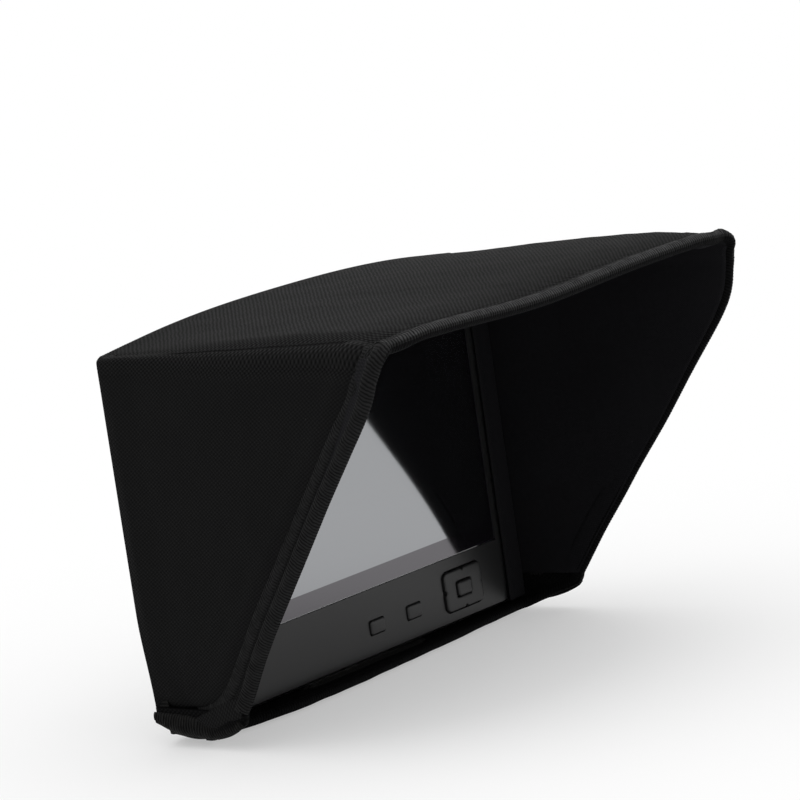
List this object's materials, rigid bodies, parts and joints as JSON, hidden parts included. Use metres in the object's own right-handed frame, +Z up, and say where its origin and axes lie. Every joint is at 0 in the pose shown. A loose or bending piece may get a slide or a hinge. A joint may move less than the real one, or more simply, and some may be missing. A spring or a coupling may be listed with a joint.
{
  "type": "camera field monitor with sun hood",
  "caption": "Flat field monitor for a camera, with a control strip under its screen, a battery plate on its back and a soft folding sun hood round it.",
  "frame": {"origin": "mouth of the tripod socket, in the middle of the monitor's underside", "axes": "+X to the right of the screen, +Y from the screen to the back, +Z up; the socket opens towards -Z"},
  "size_m": [0.2114, 0.153, 0.1424],
  "materials": {
    "bezel_plastic": "satin",
    "case_plastic": "fine texture",
    "key_plastic": "satin",
    "cover_glass": "gloss",
    "display": "gloss",
    "light_guide": "satin",
    "sheet_metal": "plain",
    "circuit_board": "satin",
    "silicone": "matte",
    "contact_metal": "bright",
    "screw_steel": "plain",
    "insert_brass": "turned",
    "flat_cable": "satin",
    "hood_nylon": "woven",
    "hood_lining": "smooth knit",
    "hood_tape": "overlocked",
    "stiffener": "plain"
  },
  "bodies": {
    "monitor": {"front_bezel": "bezel_plastic", "rear_housing": "case_plastic", "screen_glass": "cover_glass", "lcd_panel": "display", "backlight": "light_guide", "lcd_tray": "sheet_metal", "main_board": "circuit_board", "keypad_board": "circuit_board", "key_mat": "silicone", "dome_switches": "contact_metal", "hdmi_socket": "sheet_metal", "av_jack": "case_plastic", "headphone_jack": "case_plastic", "dc_jack": "case_plastic", "power_switch": "sheet_metal", "battery_plate": "case_plastic", "battery_contacts": "contact_metal", "latch_spring": "screw_steel", "latch_keeper": "sheet_metal", "tripod_socket": "insert_brass", "housing_screws": "screw_steel", "board_screws": "screw_steel", "plate_screws": "screw_steel", "display_cable": "flat_cable", "keypad_cable": "flat_cable"},
    "left_key": {"key_left": "key_plastic"},
    "right_key": {"key_right": "key_plastic"},
    "pad_gimbal": {"nav_gimbal": "silicone"},
    "pad": {"nav_pad": "key_plastic"},
    "select_key": {"nav_select": "key_plastic"},
    "power_knob": {"power_slider": "key_plastic"},
    "latch": {"battery_latch": "key_plastic"},
    "hood": {"hood_top": "hood_nylon", "hood_left": "hood_nylon", "hood_right": "hood_nylon", "hood_bottom": "hood_nylon", "top_board": "stiffener", "left_board": "stiffener", "right_board": "stiffener", "top_lining": "hood_lining", "left_lining": "hood_lining", "right_lining": "hood_lining", "top_lip": "hood_lining", "left_lip": "hood_lining", "right_lip": "hood_lining", "front_tape": "hood_tape", "rear_tape": "hood_tape", "seam_tapes": "hood_tape"}
  },
  "joints": [
    {"name": "left_key_press", "type": "slide", "parent": "monitor", "child": "left_key", "axis": [0, 1, 0], "range_m": [0, 0.0004], "stiffness_N_per_m": 900},
    {"name": "right_key_press", "type": "slide", "parent": "monitor", "child": "right_key", "axis": [0, 1, 0], "range_m": [0, 0.0004], "stiffness_N_per_m": 900},
    {"name": "pad_rock_up_down", "type": "hinge", "parent": "monitor", "child": "pad_gimbal", "pos_m": [0.0586, -0.0081, 0.01255], "axis": [1, 0, 0], "range_deg": [-1.5, 1.5], "stiffness_Nm_per_rad": 0.06},
    {"name": "pad_rock_left_right", "type": "hinge", "parent": "pad_gimbal", "child": "pad", "pos_m": [0.0586, -0.0081, 0.01255], "axis": [0, 0, 1], "range_deg": [-1.5, 1.5], "stiffness_Nm_per_rad": 0.06},
    {"name": "select_press", "type": "slide", "parent": "monitor", "child": "select_key", "axis": [0, 1, 0], "range_m": [0, 0.0004], "stiffness_N_per_m": 900},
    {"name": "power_slide", "type": "slide", "parent": "monitor", "child": "power_knob", "axis": [0, 0, 1], "range_m": [0, 0.003]},
    {"name": "latch_press", "type": "slide", "parent": "monitor", "child": "latch", "axis": [0, -1, 0], "range_m": [0, 0.0022], "stiffness_N_per_m": 500, "deforming": ["latch_spring"]},
    {"name": "hood_slide", "type": "slide", "parent": "monitor", "child": "hood", "axis": [0, -1, 0], "range_m": [0, 0.06]}
  ]
}
